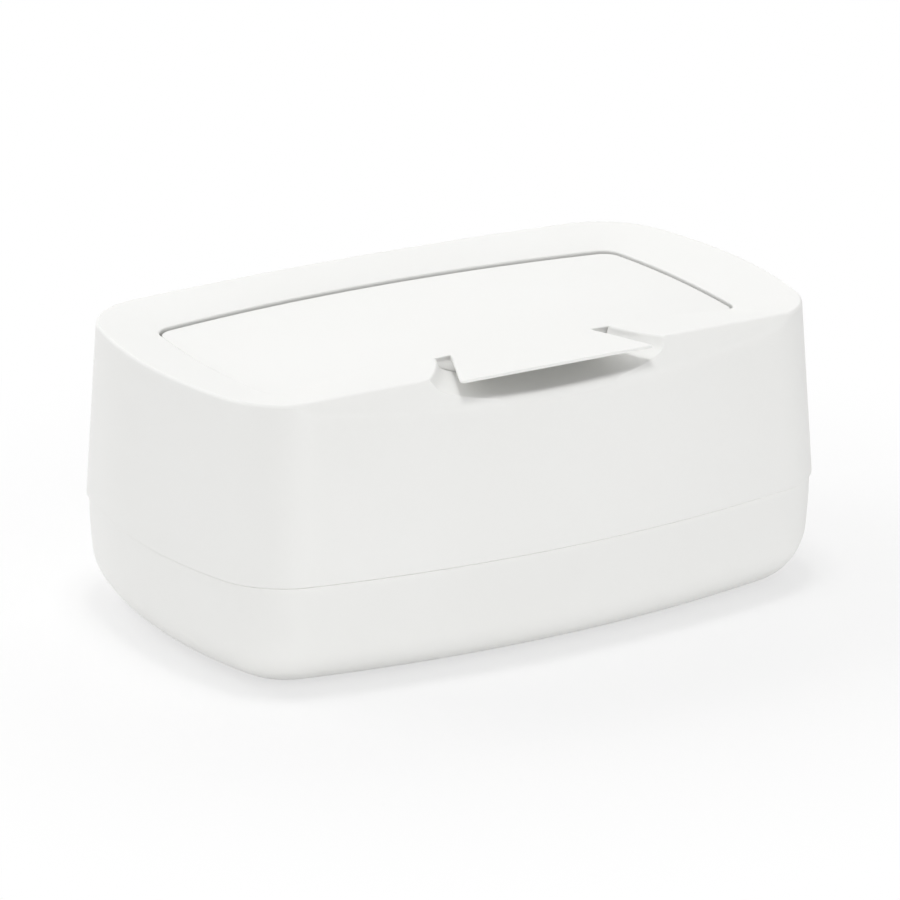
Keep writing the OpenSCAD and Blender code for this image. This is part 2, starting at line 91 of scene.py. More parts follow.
# %% [markdown]
# ## Outlines
#
# Seen from above, the box and the lid are bowed rectangles: four long arcs joined by four round corners. One
# function gives a point for each place p, which runs from 0 at the right end, anticlockwise, to 12: a quarter
# of the outline is three steps, half an end, a corner and half a long side. The same p on two outlines is the
# same place on the box, so skins can be drawn between them.

# %% The bowed rectangle
SHARPEST = 0.5                                    # an inset corner keeps at least this radius


def mix(a, b, t):
    return a + (b - a) * t


def smooth(t):
    t = np.clip(t, 0, 1)
    return t * t * (3 - 2 * t)


def bowed(p, line, inset=0.0):
    """The points at the places p of a bowed rectangle, moved inwards by inset."""
    half_l, half_w, bow_l, bow_e, r = line
    p = np.asarray(p, float) % 12
    quarter = np.floor(p / 3).astype(int)
    q = np.where(quarter % 2 == 1, 3 * quarter + 3 - p, p - 3 * quarter)
    long_r = (half_l ** 2 + bow_l ** 2) / (2 * bow_l)
    end_r = (half_w ** 2 + bow_e ** 2) / (2 * bow_e)
    long_c, end_c = np.array([0, half_w - long_r]), np.array([half_l - end_r, 0])
    apart = np.linalg.norm(end_c - long_c)
    way = (end_c - long_c) / apart
    a, b = long_r - r, end_r - r
    along = (apart ** 2 + a * a - b * b) / (2 * apart)
    corner_c = long_c + way * along + np.array([way[1], -way[0]]) * math.sqrt(a * a - along ** 2)
    start = math.atan2(*(corner_c - end_c)[::-1])
    stop = math.atan2(*(corner_c - long_c)[::-1])
    on_end, on_corner = q < 1, q < 2
    turn = np.where(on_corner, mix(start, stop, q - 1), mix(stop, math.pi / 2, q - 2))
    angle = np.where(on_end, start * q, turn)
    centre = np.where(on_end[..., None], end_c, np.where(on_corner[..., None], corner_c, long_c))
    corner_r = np.maximum(r - inset, SHARPEST)
    radius = np.where(on_end, end_r - inset, np.where(on_corner, corner_r, long_r - inset))
    x = centre[..., 0] + radius * np.cos(angle)
    y = centre[..., 1] + radius * np.sin(angle)
    return np.stack([np.where((quarter == 1) | (quarter == 2), -x, x), np.where(quarter > 1, -y, y)], -1)


def line_at(z):
    """The box's outline at a height: as at the seam below it, leaning in above it."""
    return tuple(mix(a, b, max((z - SEAM_H) / (BOX_H - SEAM_H), 0)) for a, b in zip(SEAM_LINE, RIM_LINE))


def lid_line(p, inset=0.0):
    return bowed(p, LID_LINE, inset) + [0, LID_Y]


def solid(flat, z):
    """Points in space from points on a plane and one height or a height for each."""
    return np.column_stack([flat, np.broadcast_to(z, len(flat))])


# %% [markdown]
# ## Heights of the lid and the rim
#
# The lid is level at the rear and rises to the middle of its front edge, and from there its tongue runs out
# almost level with the rim. The rim is a ruled band: it falls from its outer edge to the lid, and stays a
# small step above it.

# %% Height functions
def lid_top(x, y):
    arch = LID_RISE * (1 - (x / LID_LINE[0]) ** 2)
    edge = BOX_H - LID_DIP + arch * smooth((LID_REAR_Y - y) / (LID_REAR_Y - LID_FRONT_Y))
    t = np.maximum((LID_FRONT_Y - y) / (LID_FRONT_Y - TONGUE_TIP_Y), 0)
    return edge - t * t * (arch - LID_DIP + TONGUE_DROP)


def rim_inner(x, y):
    return lid_top(x, np.maximum(y, LID_FRONT_Y)) + RIM_STEP


# %% [markdown]
# ## From a circle to a skin
#
# A moulded shell is easiest to grow ring by ring. A circle is added with as many points as the outline needs,
# it is extruded once for each ring, and the new ring is moved to its outline. Rings that meet are merged, and
# a ring drawn together into one point closes the skin with a pole.

# %% Growing a skin, and cutting it
MERGE, FLAT_EDGE = 2e-6, 1e-6                     # metres
SMOOTH_ANGLE, FLAT_WEIGHT = 40, 60                # degrees, and the weight of the large flat faces


def only(piece):
    bpy.ops.object.select_all(action="DESELECT")
    piece.select_set(True)
    bpy.context.view_layer.objects.active = piece


def grow(name, rings):
    """A closed skin through rings of points in millimetres."""
    count = len(rings[0])
    bpy.ops.object.select_all(action="DESELECT")
    bpy.ops.mesh.primitive_circle_add(vertices=count, radius=0.1, fill_type="NOTHING")
    piece = bpy.context.object
    piece.name = piece.data.name = name
    bpy.ops.object.mode_set(mode="EDIT")
    bpy.ops.mesh.select_all(action="SELECT")
    mesh = bmesh.from_edit_mesh(piece.data)
    mesh.verts.ensure_lookup_table()
    ring = [v.index for v in mesh.verts]
    for i, ring_points in enumerate(rings):
        if i:
            bpy.ops.mesh.extrude_region()
            mesh = bmesh.from_edit_mesh(piece.data)
            mesh.verts.index_update()
            mesh.verts.ensure_lookup_table()
            ring = [next(e.other_vert(mesh.verts[k]).index for e in mesh.verts[k].link_edges
                         if e.other_vert(mesh.verts[k]).select) for k in ring]
        for k, place in zip(ring, ring_points):
            mesh.verts[k].co = Vector([float(c) * MM for c in place])
    bmesh.update_edit_mesh(piece.data)
    bpy.ops.mesh.select_all(action="SELECT")
    bpy.ops.mesh.remove_doubles(threshold=MERGE)
    bpy.ops.mesh.normals_make_consistent(inside=False)
    bpy.ops.object.mode_set(mode="OBJECT")
    return piece


def join_or_cut(piece, tool, operation):
    """Adds the tool to the piece, or cuts it out, and removes the tool."""
    only(piece)
    change = piece.modifiers.new(operation, "BOOLEAN")
    change.operation, change.solver, change.object = operation, "EXACT", tool
    bpy.ops.object.modifier_apply(modifier=change.name)
    bpy.data.objects.remove(tool)
    return piece


def finish_skin(piece, angle=SMOOTH_ANGLE):
    """Merges what the cuts left too close together, and shades the skin smooth with its flat faces flat."""
    only(piece)
    bpy.ops.object.mode_set(mode="EDIT")
    bpy.ops.mesh.select_all(action="SELECT")
    bpy.ops.mesh.remove_doubles(threshold=MERGE)
    bpy.ops.mesh.dissolve_degenerate(threshold=FLAT_EDGE)
    bpy.ops.mesh.normals_make_consistent(inside=False)
    bpy.ops.object.mode_set(mode="OBJECT")
    bpy.ops.object.shade_smooth_by_angle(angle=math.radians(angle))
    flat = piece.modifiers.new("flat faces", "WEIGHTED_NORMAL")
    flat.keep_sharp, flat.weight = True, FLAT_WEIGHT
    bpy.ops.object.modifier_apply(modifier=flat.name)
    mesh = bmesh.new()
    mesh.from_mesh(piece.data)
    open_edges = sum(1 for e in mesh.edges if not e.is_manifold)
    size = [round(d / MM, 2) for d in piece.dimensions]
    volume = round(mesh.calc_volume() * 1e6, 1)
    print(piece.name, len(piece.data.polygons), "faces,", open_edges, "open edges, size", size, "volume",
          volume, "cm3")
    mesh.free()
    return piece


NEARLY_HALF = 0.48                                # of a stretch, the most that the round at one end takes


def rounded_path(stops, reach, steps):
    """Rings along a path of stops. Each inner stop is rounded over its reach with so many steps."""
    rings = [stops[0]]
    for k in range(1, len(stops) - 1):
        if not steps[k]:
            rings.append(stops[k])
            continue
        back, ahead = stops[k - 1] - stops[k], stops[k + 1] - stops[k]
        back_l = np.maximum(np.linalg.norm(back, axis=1, keepdims=True), 1e-9)
        ahead_l = np.maximum(np.linalg.norm(ahead, axis=1, keepdims=True), 1e-9)
        d = np.minimum(np.broadcast_to(reach[k], back_l.shape), NEARLY_HALF * back_l)
        d = np.minimum(d, NEARLY_HALF * ahead_l)
        a, c = stops[k] + back / back_l * d, stops[k] + ahead / ahead_l * d
        for t in np.linspace(0, 1, steps[k] + 1):
            rings.append((1 - t) ** 2 * a + 2 * t * (1 - t) * stops[k] + t * t * c)
    return rings + [stops[-1]]


# %% [markdown]
# ## The tray
#
# The tray is the shallow lower shell. Its skin runs from the middle of the underside out over the widely
# rounded bottom edge, up the wall to the shoulder under the seam, over the lip that stands inside the cover,
# and down the inside again. The sockets for the feet are drilled afterwards.

# %% Places around the outline
END_STEPS, CORNER_STEPS, LONG_STEPS = 9, 18, 22
quarter_places = np.concatenate([np.linspace(0, 1, END_STEPS, endpoint=False),
                                 1 + np.linspace(0, 1, CORNER_STEPS, endpoint=False),
                                 2 + np.linspace(0, 1, LONG_STEPS, endpoint=False)])
quarter_back = 6 - np.concatenate([quarter_places[1:], [3.0]])[::-1]
half_places = np.concatenate([quarter_places, quarter_back])
places = np.concatenate([half_places, half_places + 6])


def box_ring(z, inset):
    return solid(bowed(places, line_at(z), inset), z)


# %% Tray skin
TRAY_ANGLE, HALF_WAY, WALL_RINGS, FOOT_SIDES = 30, 0.5, 6, 64
SHOULDER_ROUND, LIP_EDGE = 0.4, 0.5


def bottom_rings(width, height, low, inset, count=14):
    """The quarter ellipse between a level floor and an upright wall."""
    return [box_ring(low + height * (1 - math.cos(a)), inset + width * (1 - math.sin(a)))
            for a in np.linspace(0, math.pi / 2, count)]


def make_tray():
    shoulder_z, lip_z, lip_in = SEAM_H - SEAM_GAP, SEAM_H + LIP_H, WALL + LIP_ROOM
    side_z, deep = TRAY_BOTTOM + BOTTOM_H, TRAY_STEP + TRAY_TAPER
    middle = np.zeros((len(places), 2))
    level = bowed(places, SEAM_LINE, deep + BOTTOM_W)
    rings = [solid(middle, TRAY_BOTTOM), solid(level * HALF_WAY, TRAY_BOTTOM)]
    rings += bottom_rings(BOTTOM_W, BOTTOM_H, TRAY_BOTTOM, deep)
    wall = [box_ring(z, TRAY_STEP + TRAY_TAPER * ((shoulder_z - z) / (shoulder_z - side_z)) ** 2)
            for z in np.linspace(side_z, shoulder_z, WALL_RINGS)]
    path = [wall[-2], wall[-1], box_ring(shoulder_z, lip_in), box_ring(lip_z, lip_in),
            box_ring(lip_z, lip_in + LIP_T), box_ring(shoulder_z - BAND_H, lip_in + LIP_T)]
    reach = [0, SHOULDER_ROUND, 0, LIP_EDGE, LIP_EDGE, 0]
    rings += wall[1:-2] + rounded_path(path, reach, [0, 4, 0, 3, 3, 0])
    rings.append(box_ring(shoulder_z - BAND_H - BAND_SLOPE, TRAY_STEP + WALL))
    rings += bottom_rings(BOTTOM_W - WALL, BOTTOM_H - FLOOR_T, TRAY_BOTTOM + FLOOR_T, deep + WALL)[::-1]
    rings += [solid(level * HALF_WAY, TRAY_BOTTOM + FLOOR_T), solid(middle, TRAY_BOTTOM + FLOOR_T)]
    tray = grow("tray_shell", rings)
    for sx in (-1, 1):
        for sy in (-1, 1):
            bpy.ops.mesh.primitive_cylinder_add(
                vertices=FOOT_SIDES, radius=FOOT_R * MM, depth=2 * FOOT_TOP * MM,
                location=(sx * FOOT_X * MM, sy * FOOT_Y * MM, 0))
            join_or_cut(tray, bpy.context.object, "DIFFERENCE")
    return finish_skin(tray, TRAY_ANGLE)


tray = make_tray()
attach(tray, "tray")
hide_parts("base_tray")

# %% [markdown]
# ## The cover
#
# The cover is one moulding with many faces, and all of them are reached by lines that run from the lid's
# recess over the rim, down the outside and up the inside again. Along most of the box a line is straight from
# the lid to the edge. At the front the lines fan out: between the two notches they follow the bowl of the
# finger scoop down to its lip, so the mesh turns the edges of the scoop with the plastic and not across it.

# %% The cover's wall and the facet under its front edge
WALL_TOP, UNDER_RIM = BOX_H - RIM_ROUND, BOX_H - WALL - RIM_ROUND
FACET_SLOPE = FACET_H / (FRONT_CUT + LONG_LEAN * FACET_H / (BOX_H - SEAM_H))
FRONT = np.linspace(7, 11, 401)


def wall_at(p, z, inset=0.0, top=WALL_TOP):
    """The wall is ruled between its outline at the seam and its outline at the top."""
    low, high = bowed(p, SEAM_LINE, inset), bowed(p, line_at(top), inset)
    return solid(low + (high - low) * (np.broadcast_to(z, len(low))[:, None] - SEAM_H) / (top - SEAM_H), z)


def facet_z(y, inset=0.0):
    return BOX_H + (y - FRONT_Y) * FACET_SLOPE - inset * math.hypot(1, FACET_SLOPE)


def facet_foot(p, inset=0.0, top=WALL_TOP):
    """The height at which the wall at each place meets the facet, or the wall's top where it doesn't."""
    low, high = bowed(p, SEAM_LINE, inset)[:, 1], bowed(p, line_at(top), inset)[:, 1]
    lean = (high - low) / (top - SEAM_H)
    z = (facet_z(low - lean * SEAM_H, inset)) / (1 - FACET_SLOPE * lean)
    return np.minimum(z, top)


def front_place(x, z, inset=0.0, top=WALL_TOP):
    """The place on the front wall that has this x at this height."""
    low, high = bowed(FRONT, SEAM_LINE, inset)[:, 0], bowed(FRONT, line_at(top), inset)[:, 0]
    share = (np.broadcast_to(z, len(x)) - SEAM_H) / (top - SEAM_H)
    return np.array([np.interp(a, low + (high - low) * b, FRONT) for a, b in zip(x, share)])


# %% The scoop's cross section
# the round of its edges above and below, the share of the lines that the bowl takes, and their spread
SCOOP_EDGE, EDGE_SHARE, UNDER_EDGE, BOWL_SPREAD = 1.2, 0.8, 3.0, 2
SCOOP_BACK = LID_FRONT_Y - LID_GAP
LIP_LINE = line_at(BOX_H - SCOOP_OUT_D - LIP_ROUND)
BEHIND_EXIT, BEFORE_EXIT, HALVINGS = -50.0, -82.0, 40


def lip_start(x):
    """y where the bowl's floor begins to roll over into the front wall."""
    return LIP_LINE[2] * (x / LIP_LINE[0]) ** 2 - LIP_LINE[1] + LIP_ROUND * LIP_STEEP


def rim_lift(x, y):
    """How far the rim stands above its outer edge next to the scoop, where it follows the lid."""
    return (rim_inner(x, LID_FRONT_Y) - BOX_H) * np.clip((y - FRONT_Y) / (SCOOP_BACK - FRONT_Y), 0, 1)


def scoop_section(s, y, grow_by=0.0):
    """x and z of the scoop's line s at y. The lines run from -1, left, over 0, the bottom, to 1."""
    share = np.clip((SCOOP_BACK - y) / (SCOOP_BACK - FRONT_Y), 0, 1) ** SCOOP_FLARE
    w = mix(SCOOP_IN, SCOOP_OUT, share) + grow_by
    run = np.maximum((LID_FRONT_Y - y) / (LID_FRONT_Y + RIM_LINE[1] + WALL), 0)
    d = mix(SCOOP_IN_D, SCOOP_OUT_D, run) + grow_by
    side = np.clip((np.abs(s) - EDGE_SHARE) / (1 - EDGE_SHARE), 0, 1)
    start = (UNDER_EDGE if grow_by else SCOOP_EDGE) / d
    toward_bottom = 1 - np.clip(np.abs(s) / EDGE_SHARE, 0, 1) ** BOWL_SPREAD
    angle = mix(np.arcsin(start ** (1 / SCOOP_STEEP)), math.pi / 2, toward_bottom)
    x, part = w * np.cos(angle), np.sin(angle) ** SCOOP_STEEP
    if grow_by:
        return np.sign(s) * (x + side * SCOOP_EDGE), BOX_H - d * part
    round_angle = side * math.pi / 2
    edge_part = SCOOP_EDGE / d * (1 - np.sin(round_angle))
    edge_x = w * np.sqrt(1 - edge_part ** (2 / SCOOP_STEEP)) + SCOOP_EDGE * (1 - np.cos(round_angle))
    x, part = np.where(side > 0, edge_x, x), np.where(side > 0, edge_part, part)
    over = np.clip((lip_start(x) - y) / LIP_ROUND, 0, 1)
    d = d + LIP_ROUND * (1 - np.sqrt(1 - over * over))
    return np.sign(s) * x, BOX_H - d * part + rim_lift(x, y) * (1 - part)


def scoop_exit(s, grow_by=0.0, inset=0.0, top=WALL_TOP):
    """Where each of the scoop's lines comes out of the facet or the wall, found by halving."""
    inner, outer = np.full(len(s), BEHIND_EXIT), np.full(len(s), BEFORE_EXIT)
    for _ in range(HALVINGS):
        y = (inner + outer) / 2
        x, z = scoop_section(s, y, grow_by)
        wall_y = wall_at(front_place(x, z, inset, top), z, inset, top)[:, 1]
        within = (facet_z(y, inset) > z) & (y > wall_y)
        inner, outer = np.where(within, y, inner), np.where(within, outer, y)
    return inner


def recess_front(s, inset, grow_by=0.0):
    """y where each of the scoop's lines meets the recess, and the place on the lid's line."""
    line = lid_line(FRONT, inset)
    y = np.full(len(s), SCOOP_BACK)
    for _ in range(6):
        x, z = scoop_section(s, y, grow_by)
        y = np.interp(x, line[:, 0], line[:, 1])
    return y, np.interp(x, line[:, 0], FRONT)


# %% The cover's lines
FAN_X = 50.0                                      # beyond this x the lines at the front run straight
SIDE_LINES, BOWL_LINES, FAN_LINES, FRONT_LINES = 4, 18, 6, 10
DISH_ROWS, LIP_ROWS, UNDER_ROWS = 20, 8, 5
half_scoop = np.concatenate([np.linspace(1, EDGE_SHARE, SIDE_LINES, endpoint=False),
                             np.linspace(EDGE_SHARE, 0, BOWL_LINES, endpoint=False)])
scoop_lines = np.concatenate([-half_scoop, [0.0], half_scoop[::-1]])
recess_line = lid_line(FRONT, -LID_GAP)
right_p = np.interp(FAN_X, recess_line[:, 0], FRONT)
left_p = 18 - right_p


def run(a, b, count):
    return np.linspace(a, b, count, endpoint=False)


plain = np.concatenate([
    run(right_p, 10, FRONT_LINES), run(10, 11, CORNER_STEPS), run(11, 13, 2 * END_STEPS),
    run(13, 14, CORNER_STEPS), run(14, 16, 2 * LONG_STEPS), run(16, 17, CORNER_STEPS),
    run(17, 19, 2 * END_STEPS), run(19, 20, CORNER_STEPS), run(20, left_p + 12, FRONT_LINES),
    [left_p + 12]]) % 12
fan = (np.arange(FAN_LINES) + 1) / (FAN_LINES + 1)


def rows_over(length, first, last, count):
    """Shares along a line: short first and last steps of a fixed length, and even steps between."""
    length = np.asarray(length, float)
    inner = [mix(first / length, 1 - last / length, t) for t in np.linspace(0, 1, count - 1)]
    return np.array([np.zeros_like(length), *inner, np.ones_like(length)])


def straight(a, b, shares):
    return np.array([a + (b - a) * t[:, None] for t in shares])


def between(left, right):
    """The fan's lines between two lines that stand next to it, row by row."""
    return np.array([mix(left, right, t) for t in fan]).swapaxes(0, 1)


# %% The top side: dished rim, notches and scoop
RIM_IN = RIM_ROUND * 0.7                          # the dish ends this far inside the rim's outline
FIRST_ROW, LAST_ROW = 1.2, 2.2                    # lengths of the dish's first and last rows
FIRST_BOWL_ROW, LIP_REACH = 0.08, LIP_ROUND * 0.9


def plain_top():
    inner = lid_line(plain, -LID_GAP)
    inner = solid(inner, rim_inner(inner[:, 0], inner[:, 1]))
    edge = bowed(plain, RIM_LINE, RIM_IN)
    edge[:, 1] = np.maximum(edge[:, 1], FRONT_Y)
    edge = solid(edge, BOX_H)
    length = np.linalg.norm(edge - inner, axis=1)
    return straight(inner, edge, rows_over(length, FIRST_ROW, LAST_ROW, DISH_ROWS))


def scoop_top():
    y_in, _ = recess_front(scoop_lines, -LID_GAP)
    y_out = scoop_exit(scoop_lines)
    y_lip = y_out + LIP_REACH
    rows = []
    for i in range(DISH_ROWS + 1):
        j = i - DISH_ROWS + LIP_ROWS
        if j > 0:
            y = mix(y_lip, y_out, math.sin(math.pi / 2 * j / LIP_ROWS))
        else:
            share = mix(FIRST_BOWL_ROW, 1, max(i - 1, 0) / (DISH_ROWS - LIP_ROWS - 1))
            y = mix(y_in, y_lip, min(i, 1) * share)
        x, z = scoop_section(scoop_lines, y)
        rows.append(np.column_stack([x, y, z]))
    return np.array(rows)


def whole(of_plain, of_scoop):
    """Joins the values of the plain lines, the left fan, the scoop and the right fan, in this order."""
    left = between(of_plain[..., -1, :], of_scoop[..., 0, :])
    right = between(of_scoop[..., -1, :], of_plain[..., 0, :])
    return np.concatenate([of_plain, left, of_scoop, right], axis=-2)


def whole_places(of_plain, of_scoop):
    """The same for places, which are unwrapped first, to run from right_p to left_p + 12."""
    of_plain = np.where(of_plain > left_p + 1e-6, of_plain, of_plain + 12)
    left = mix(of_plain[-1] - 12, of_scoop[0], fan)
    right = mix(of_scoop[-1], of_plain[0], fan)
    return np.concatenate([of_plain, left, of_scoop, right]) % 12


# %% The cover's skin
SKIN_EDGE, SEAM_EDGE, SEAM_EDGE_IN, FLOOR_EDGE = 1.0, 0.4, 0.3, 0.6
FOOT_EDGE, LIP_TURN, UNDER_TURN, FLOOR_RIM = 1.8, 1.6, 0.8, 6
REAR_FROM, REAR_OVER = 20, 25                     # where the rim's inner edge grows softer


def make_cover():
    scoop_rows = scoop_top()
    lip = scoop_rows[-1]
    dish = whole(plain_top(), scoop_rows)
    low_z = np.minimum(lip[:, 2], BOX_H - FACET_H)
    out_p = whole_places(plain, front_place(lip[:, 0], low_z))
    in_p = whole_places(plain, recess_front(scoop_lines, -LID_GAP)[1])
    back_p = whole_places(plain, recess_front(scoop_lines, -LID_GAP - RECESS_T, WALL)[1])
    edge_z = dish[-1][:, 2]
    below_lip = edge_z - LIP_TURN * (edge_z < BOX_H - 1e-6)
    foot_z = np.minimum(np.minimum(facet_foot(out_p), BOX_H - RIM_IN), below_lip)
    foot = wall_at(out_p, foot_z)
    outside = [wall_at(out_p, mix(foot_z, SEAM_H, t)) for t in (0.12, 0.3, 0.5, 0.7, 0.88)]
    seam_out, seam_in = wall_at(out_p, SEAM_H), wall_at(out_p, SEAM_H, WALL)
    # the inside: up the wall, under the facet and the rim, round the scoop, and down the recess
    under_y = scoop_exit(scoop_lines, WALL, WALL, UNDER_RIM)
    recess_y, _ = recess_front(scoop_lines, -LID_GAP - RECESS_T, WALL)
    back = lid_line(plain, -LID_GAP - RECESS_T)
    back = solid(back, rim_inner(back[:, 0], back[:, 1]) - WALL)
    rim_under = bowed(plain, line_at(UNDER_RIM), WALL + 1)
    top_y = FRONT_Y + (UNDER_RIM - facet_z(FRONT_Y, WALL)) / FACET_SLOPE
    rim_under = solid(np.column_stack([rim_under[:, 0], np.maximum(rim_under[:, 1], top_y)]), UNDER_RIM)
    shares = np.linspace(0, 1, UNDER_ROWS)
    plain_under = np.array([mix(rim_under, back, t) for t in shares])
    scoop_under = []
    for y in (mix(under_y, recess_y, t) for t in shares):
        x, z = scoop_section(scoop_lines, y, WALL)
        scoop_under.append(np.column_stack([x, y, z]))
    under = whole(plain_under, np.array(scoop_under))
    inner_z = np.minimum(facet_foot(out_p, WALL, UNDER_RIM), under[0][:, 2] - UNDER_TURN)
    inside = [wall_at(out_p, mix(SEAM_H, inner_z, t), WALL, UNDER_RIM) for t in (0.3, 0.6, 1.0)]
    floor = solid(lid_line(in_p, -LID_GAP), RECESS_Z)
    recess_back = solid(lid_line(back_p, -LID_GAP - RECESS_T), RECESS_Z - RECESS_T)
    middle = np.tile([0.0, LID_Y, 0.0], (len(in_p), 1))
    stops = [solid(lid_line(in_p, FLOOR_RIM), RECESS_Z), floor, *dish, foot, *outside, seam_out, seam_in,
             *inside, *under, recess_back]
    n_dish, n_out = len(dish), len(outside)
    steps, reach = [0] * len(stops), [0] * len(stops)
    at_rear = smooth((lid_line(in_p)[:, 1] - LID_Y - REAR_FROM) / REAR_OVER)[:, None]
    soft_edge = mix(RIM_EDGE, RIM_EDGE_REAR, at_rear)
    for k, r, n in ((1, FLOOR_EDGE, 3), (2, soft_edge, 5), (1 + n_dish, SKIN_EDGE, 5),
                    (2 + n_dish, FOOT_EDGE, 5), (3 + n_dish + n_out, SEAM_EDGE, 4),
                    (4 + n_dish + n_out, SEAM_EDGE_IN, 2)):
        steps[k], reach[k] = n, r
    above, below = middle + [0, 0, RECESS_Z], middle + [0, 0, RECESS_Z - RECESS_T]
    return grow("cover_shell", [above, *rounded_path(stops, reach, steps), below])


cover = make_cover()

# %% [markdown]
# ## What is cut into the cover
#
# The trough for the lid's rear edge, the opening that the wipes come out of and the bores for the hinge pins
# are plain shapes, so they are made as blocks and joined to the cover or cut out of it.

# %% Blocks for the hidden features
def opening_line(grow_by, steps=10):
    """The opening's outline, a rectangle with round corners."""
    half_l, front, rear, r = OPENING
    points = []
    for sx, sy, turn in ((1, 1, 0), (-1, 1, 90), (-1, -1, 180), (1, -1, 270)):
        y = (rear if sy > 0 else front) - sy * r
        for a in np.radians(np.linspace(turn, turn + 90, steps)):
            points.append([sx * (half_l - r) + (r + grow_by) * math.cos(a), y + (r + grow_by) * math.sin(a)])
    return np.array(points)


def block(name, line, low, high):
    """A block with this outline between two heights."""
    middle = np.tile(line.mean(axis=0), (len(line), 1))
    return grow(name, [solid(middle, low), solid(line, low), solid(line, high), solid(middle, high)])


def trough_block(name, inset, front_y, low, high):
    piece = block(name, lid_line(places, inset), low, high)
    bpy.ops.object.mode_set(mode="EDIT")
    bpy.ops.mesh.select_all(action="SELECT")
    bpy.ops.mesh.bisect(plane_co=(0, front_y * MM, 0), plane_no=(0, 1, 0), use_fill=True, clear_inner=True)
    bpy.ops.object.mode_set(mode="OBJECT")
    return piece


def bar(x_from, x_to, radius, sides=48):
    """A round bar along the hinge axis."""
    bpy.ops.object.select_all(action="DESELECT")
    bpy.ops.mesh.primitive_cylinder_add(
        vertices=sides, radius=radius * MM, depth=abs(x_to - x_from) * MM, rotation=(0, math.pi / 2, 0),
        location=((x_from + x_to) / 2 * MM, HINGE_Y * MM, HINGE_Z * MM))
    bpy.ops.object.transform_apply(location=True, rotation=True, scale=True)
    return bpy.context.object


OFF_WALL = 0.02                                   # keeps a block's side just off the wall of the recess
trough_wall = trough_block("trough_wall", OFF_WALL - LID_GAP - RECESS_T, TROUGH_Y - RECESS_T,
                           TROUGH_Z - RECESS_T, RECESS_Z - PAST)
join_or_cut(cover, trough_wall, "UNION")
lid_end = np.interp(HINGE_Y, *lid_line(np.linspace(0, 1, 60)).T[::-1])
recess_end = lid_end + LID_GAP
for side in (-1, 1):
    boss = bar(side * (recess_end + RECESS_T / 2), side * (recess_end + PIN_IN_COVER + RECESS_T),
               PIN_R + COVER_BOSS_T)
    join_or_cut(cover, boss, "UNION")
join_or_cut(cover, block("collar", opening_line(COLLAR_T), RECESS_Z - PAST, COLLAR_Z), "UNION")
trough = trough_block("trough", OFF_WALL - LID_GAP, TROUGH_Y, TROUGH_Z, RECESS_Z + PAST)
join_or_cut(cover, trough, "DIFFERENCE")
for side in (-1, 1):
    bore = bar(side * (recess_end - 3 * PAST), side * (recess_end + PIN_IN_COVER + BORE_END),
               PIN_R + PIN_ROOM)
    join_or_cut(cover, bore, "DIFFERENCE")
opening = block("opening", opening_line(0), RECESS_Z - 5 * PAST, COLLAR_Z + 2 * PAST)
join_or_cut(cover, opening, "DIFFERENCE")
finish_skin(cover)
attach(cover, "cover")
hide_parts("top_cover")

# %% [markdown]
# ## The lid
#
# The lid and its tongue are one plate that curves gently. Its lines run from the middle to the edge. Those
# that reach the front edge within the tongue's root pass on and fan out to the tongue's rim, so no seam shows
# where the tongue begins.

# %% The plate's outline
TONGUE_SIDE, TONGUE_CORNER, TONGUE_TIP_STEPS = 12, 6, 26
SIDE_TO, CORNER_TO = 0.86, 0.8                    # shares of the root that the sides and the corners leave


def lid_front_y(x):
    line = lid_line(FRONT)
    return np.interp(x, line[:, 0], line[:, 1])


def out_share(y):
    """How far out along the tongue y lies: 0 at its root, 1 at its tip."""
    return np.maximum((LID_FRONT_Y - y) / (LID_FRONT_Y - TONGUE_TIP_Y), 0)


def tongue_line():
    """The right half of the tongue's outline, from its root to the middle of its tip."""
    y = np.linspace(lid_front_y(TONGUE_ROOT), TONGUE_TIP_Y + TONGUE_R, TONGUE_SIDE, endpoint=False)
    turn = np.linspace(0, math.pi / 2, TONGUE_CORNER, endpoint=False)
    corner_y = TONGUE_TIP_Y + TONGUE_R * (1 - np.sin(turn))
    side_x, corner_x = (mix(TONGUE_ROOT, TONGUE_TIP, out_share(at)) for at in (y, corner_y))
    corner_x = corner_x - TONGUE_R * (1 - np.cos(turn))
    tip_x = np.linspace(TONGUE_TIP - TONGUE_R, 0, TONGUE_TIP_STEPS // 2 + 1)
    return np.concatenate([np.column_stack([side_x, y]), np.column_stack([corner_x, corner_y]),
                           np.column_stack([tip_x, np.full(len(tip_x), TONGUE_TIP_Y)])])


def neck_shares(count):
    """How the tongue's outline is spread over its root: little for the sides, most for the tip."""
    return np.concatenate([np.linspace(1, SIDE_TO, TONGUE_SIDE, endpoint=False),
                           np.linspace(SIDE_TO, CORNER_TO, TONGUE_CORNER, endpoint=False),
                           np.linspace(CORNER_TO, 0, count - TONGUE_SIDE - TONGUE_CORNER)])


half_tongue = tongue_line()
half_neck = neck_shares(len(half_tongue)) * TONGUE_ROOT
tongue_edge = np.concatenate([half_tongue * [-1, 1], half_tongue[-2::-1]])          # left to right
neck_x = np.concatenate([-half_neck, half_neck[-2::-1]])
lid_front = lid_line(FRONT)
root_p = np.interp(TONGUE_ROOT, lid_front[:, 0], FRONT)
LID_CORNER, LID_FRONT = 10, 20                    # steps around a corner and beside the tongue
lid_plain = np.concatenate([
    run(root_p + 0.01, 10, LID_FRONT), run(10, 11, LID_CORNER), run(11, 13, 2 * END_STEPS),
    run(13, 14, LID_CORNER), run(14, 16, 2 * LONG_STEPS), run(16, 17, LID_CORNER),
    run(17, 19, 2 * END_STEPS), run(19, 20, LID_CORNER), run(20, 29.99 - root_p, LID_FRONT),
    [29.99 - root_p]]) % 12
lid_p = np.concatenate([lid_plain, np.interp(neck_x, lid_front[:, 0], FRONT)])
